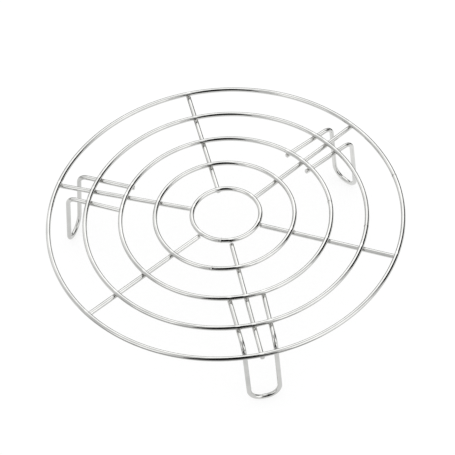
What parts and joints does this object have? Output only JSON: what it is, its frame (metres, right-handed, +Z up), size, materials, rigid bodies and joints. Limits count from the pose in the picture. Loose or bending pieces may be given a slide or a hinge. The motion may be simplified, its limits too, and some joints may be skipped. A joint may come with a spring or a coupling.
{
  "type": "round wire cooling rack",
  "caption": "Round wire cooling rack: concentric wire rings welded on radial spokes, standing on bent wire legs; holds baked food up so that air reaches it from below.",
  "frame": {"origin": "on the surface that the rack stands on, under the common centre of the rings", "axes": "+Z up along the axis of the rings; -Y points at the front leg; +X to the right seen from the front"},
  "size_m": [0.2298, 0.2298, 0.0539],
  "materials": {
    "ring_wire": "polished",
    "spoke_wire": "polished",
    "leg_wire": "polished"
  },
  "bodies": {
    "root": {"ring_inner": "ring_wire", "ring_second": "ring_wire", "ring_middle": "ring_wire", "ring_fourth": "ring_wire", "ring_outer": "ring_wire", "spoke_front": "spoke_wire", "spoke_front_right": "spoke_wire", "spoke_back_right": "spoke_wire", "spoke_back": "spoke_wire", "spoke_back_left": "spoke_wire", "spoke_front_left": "spoke_wire", "leg_front": "leg_wire", "leg_back_right": "leg_wire", "leg_back_left": "leg_wire"}
  },
  "joints": []
}
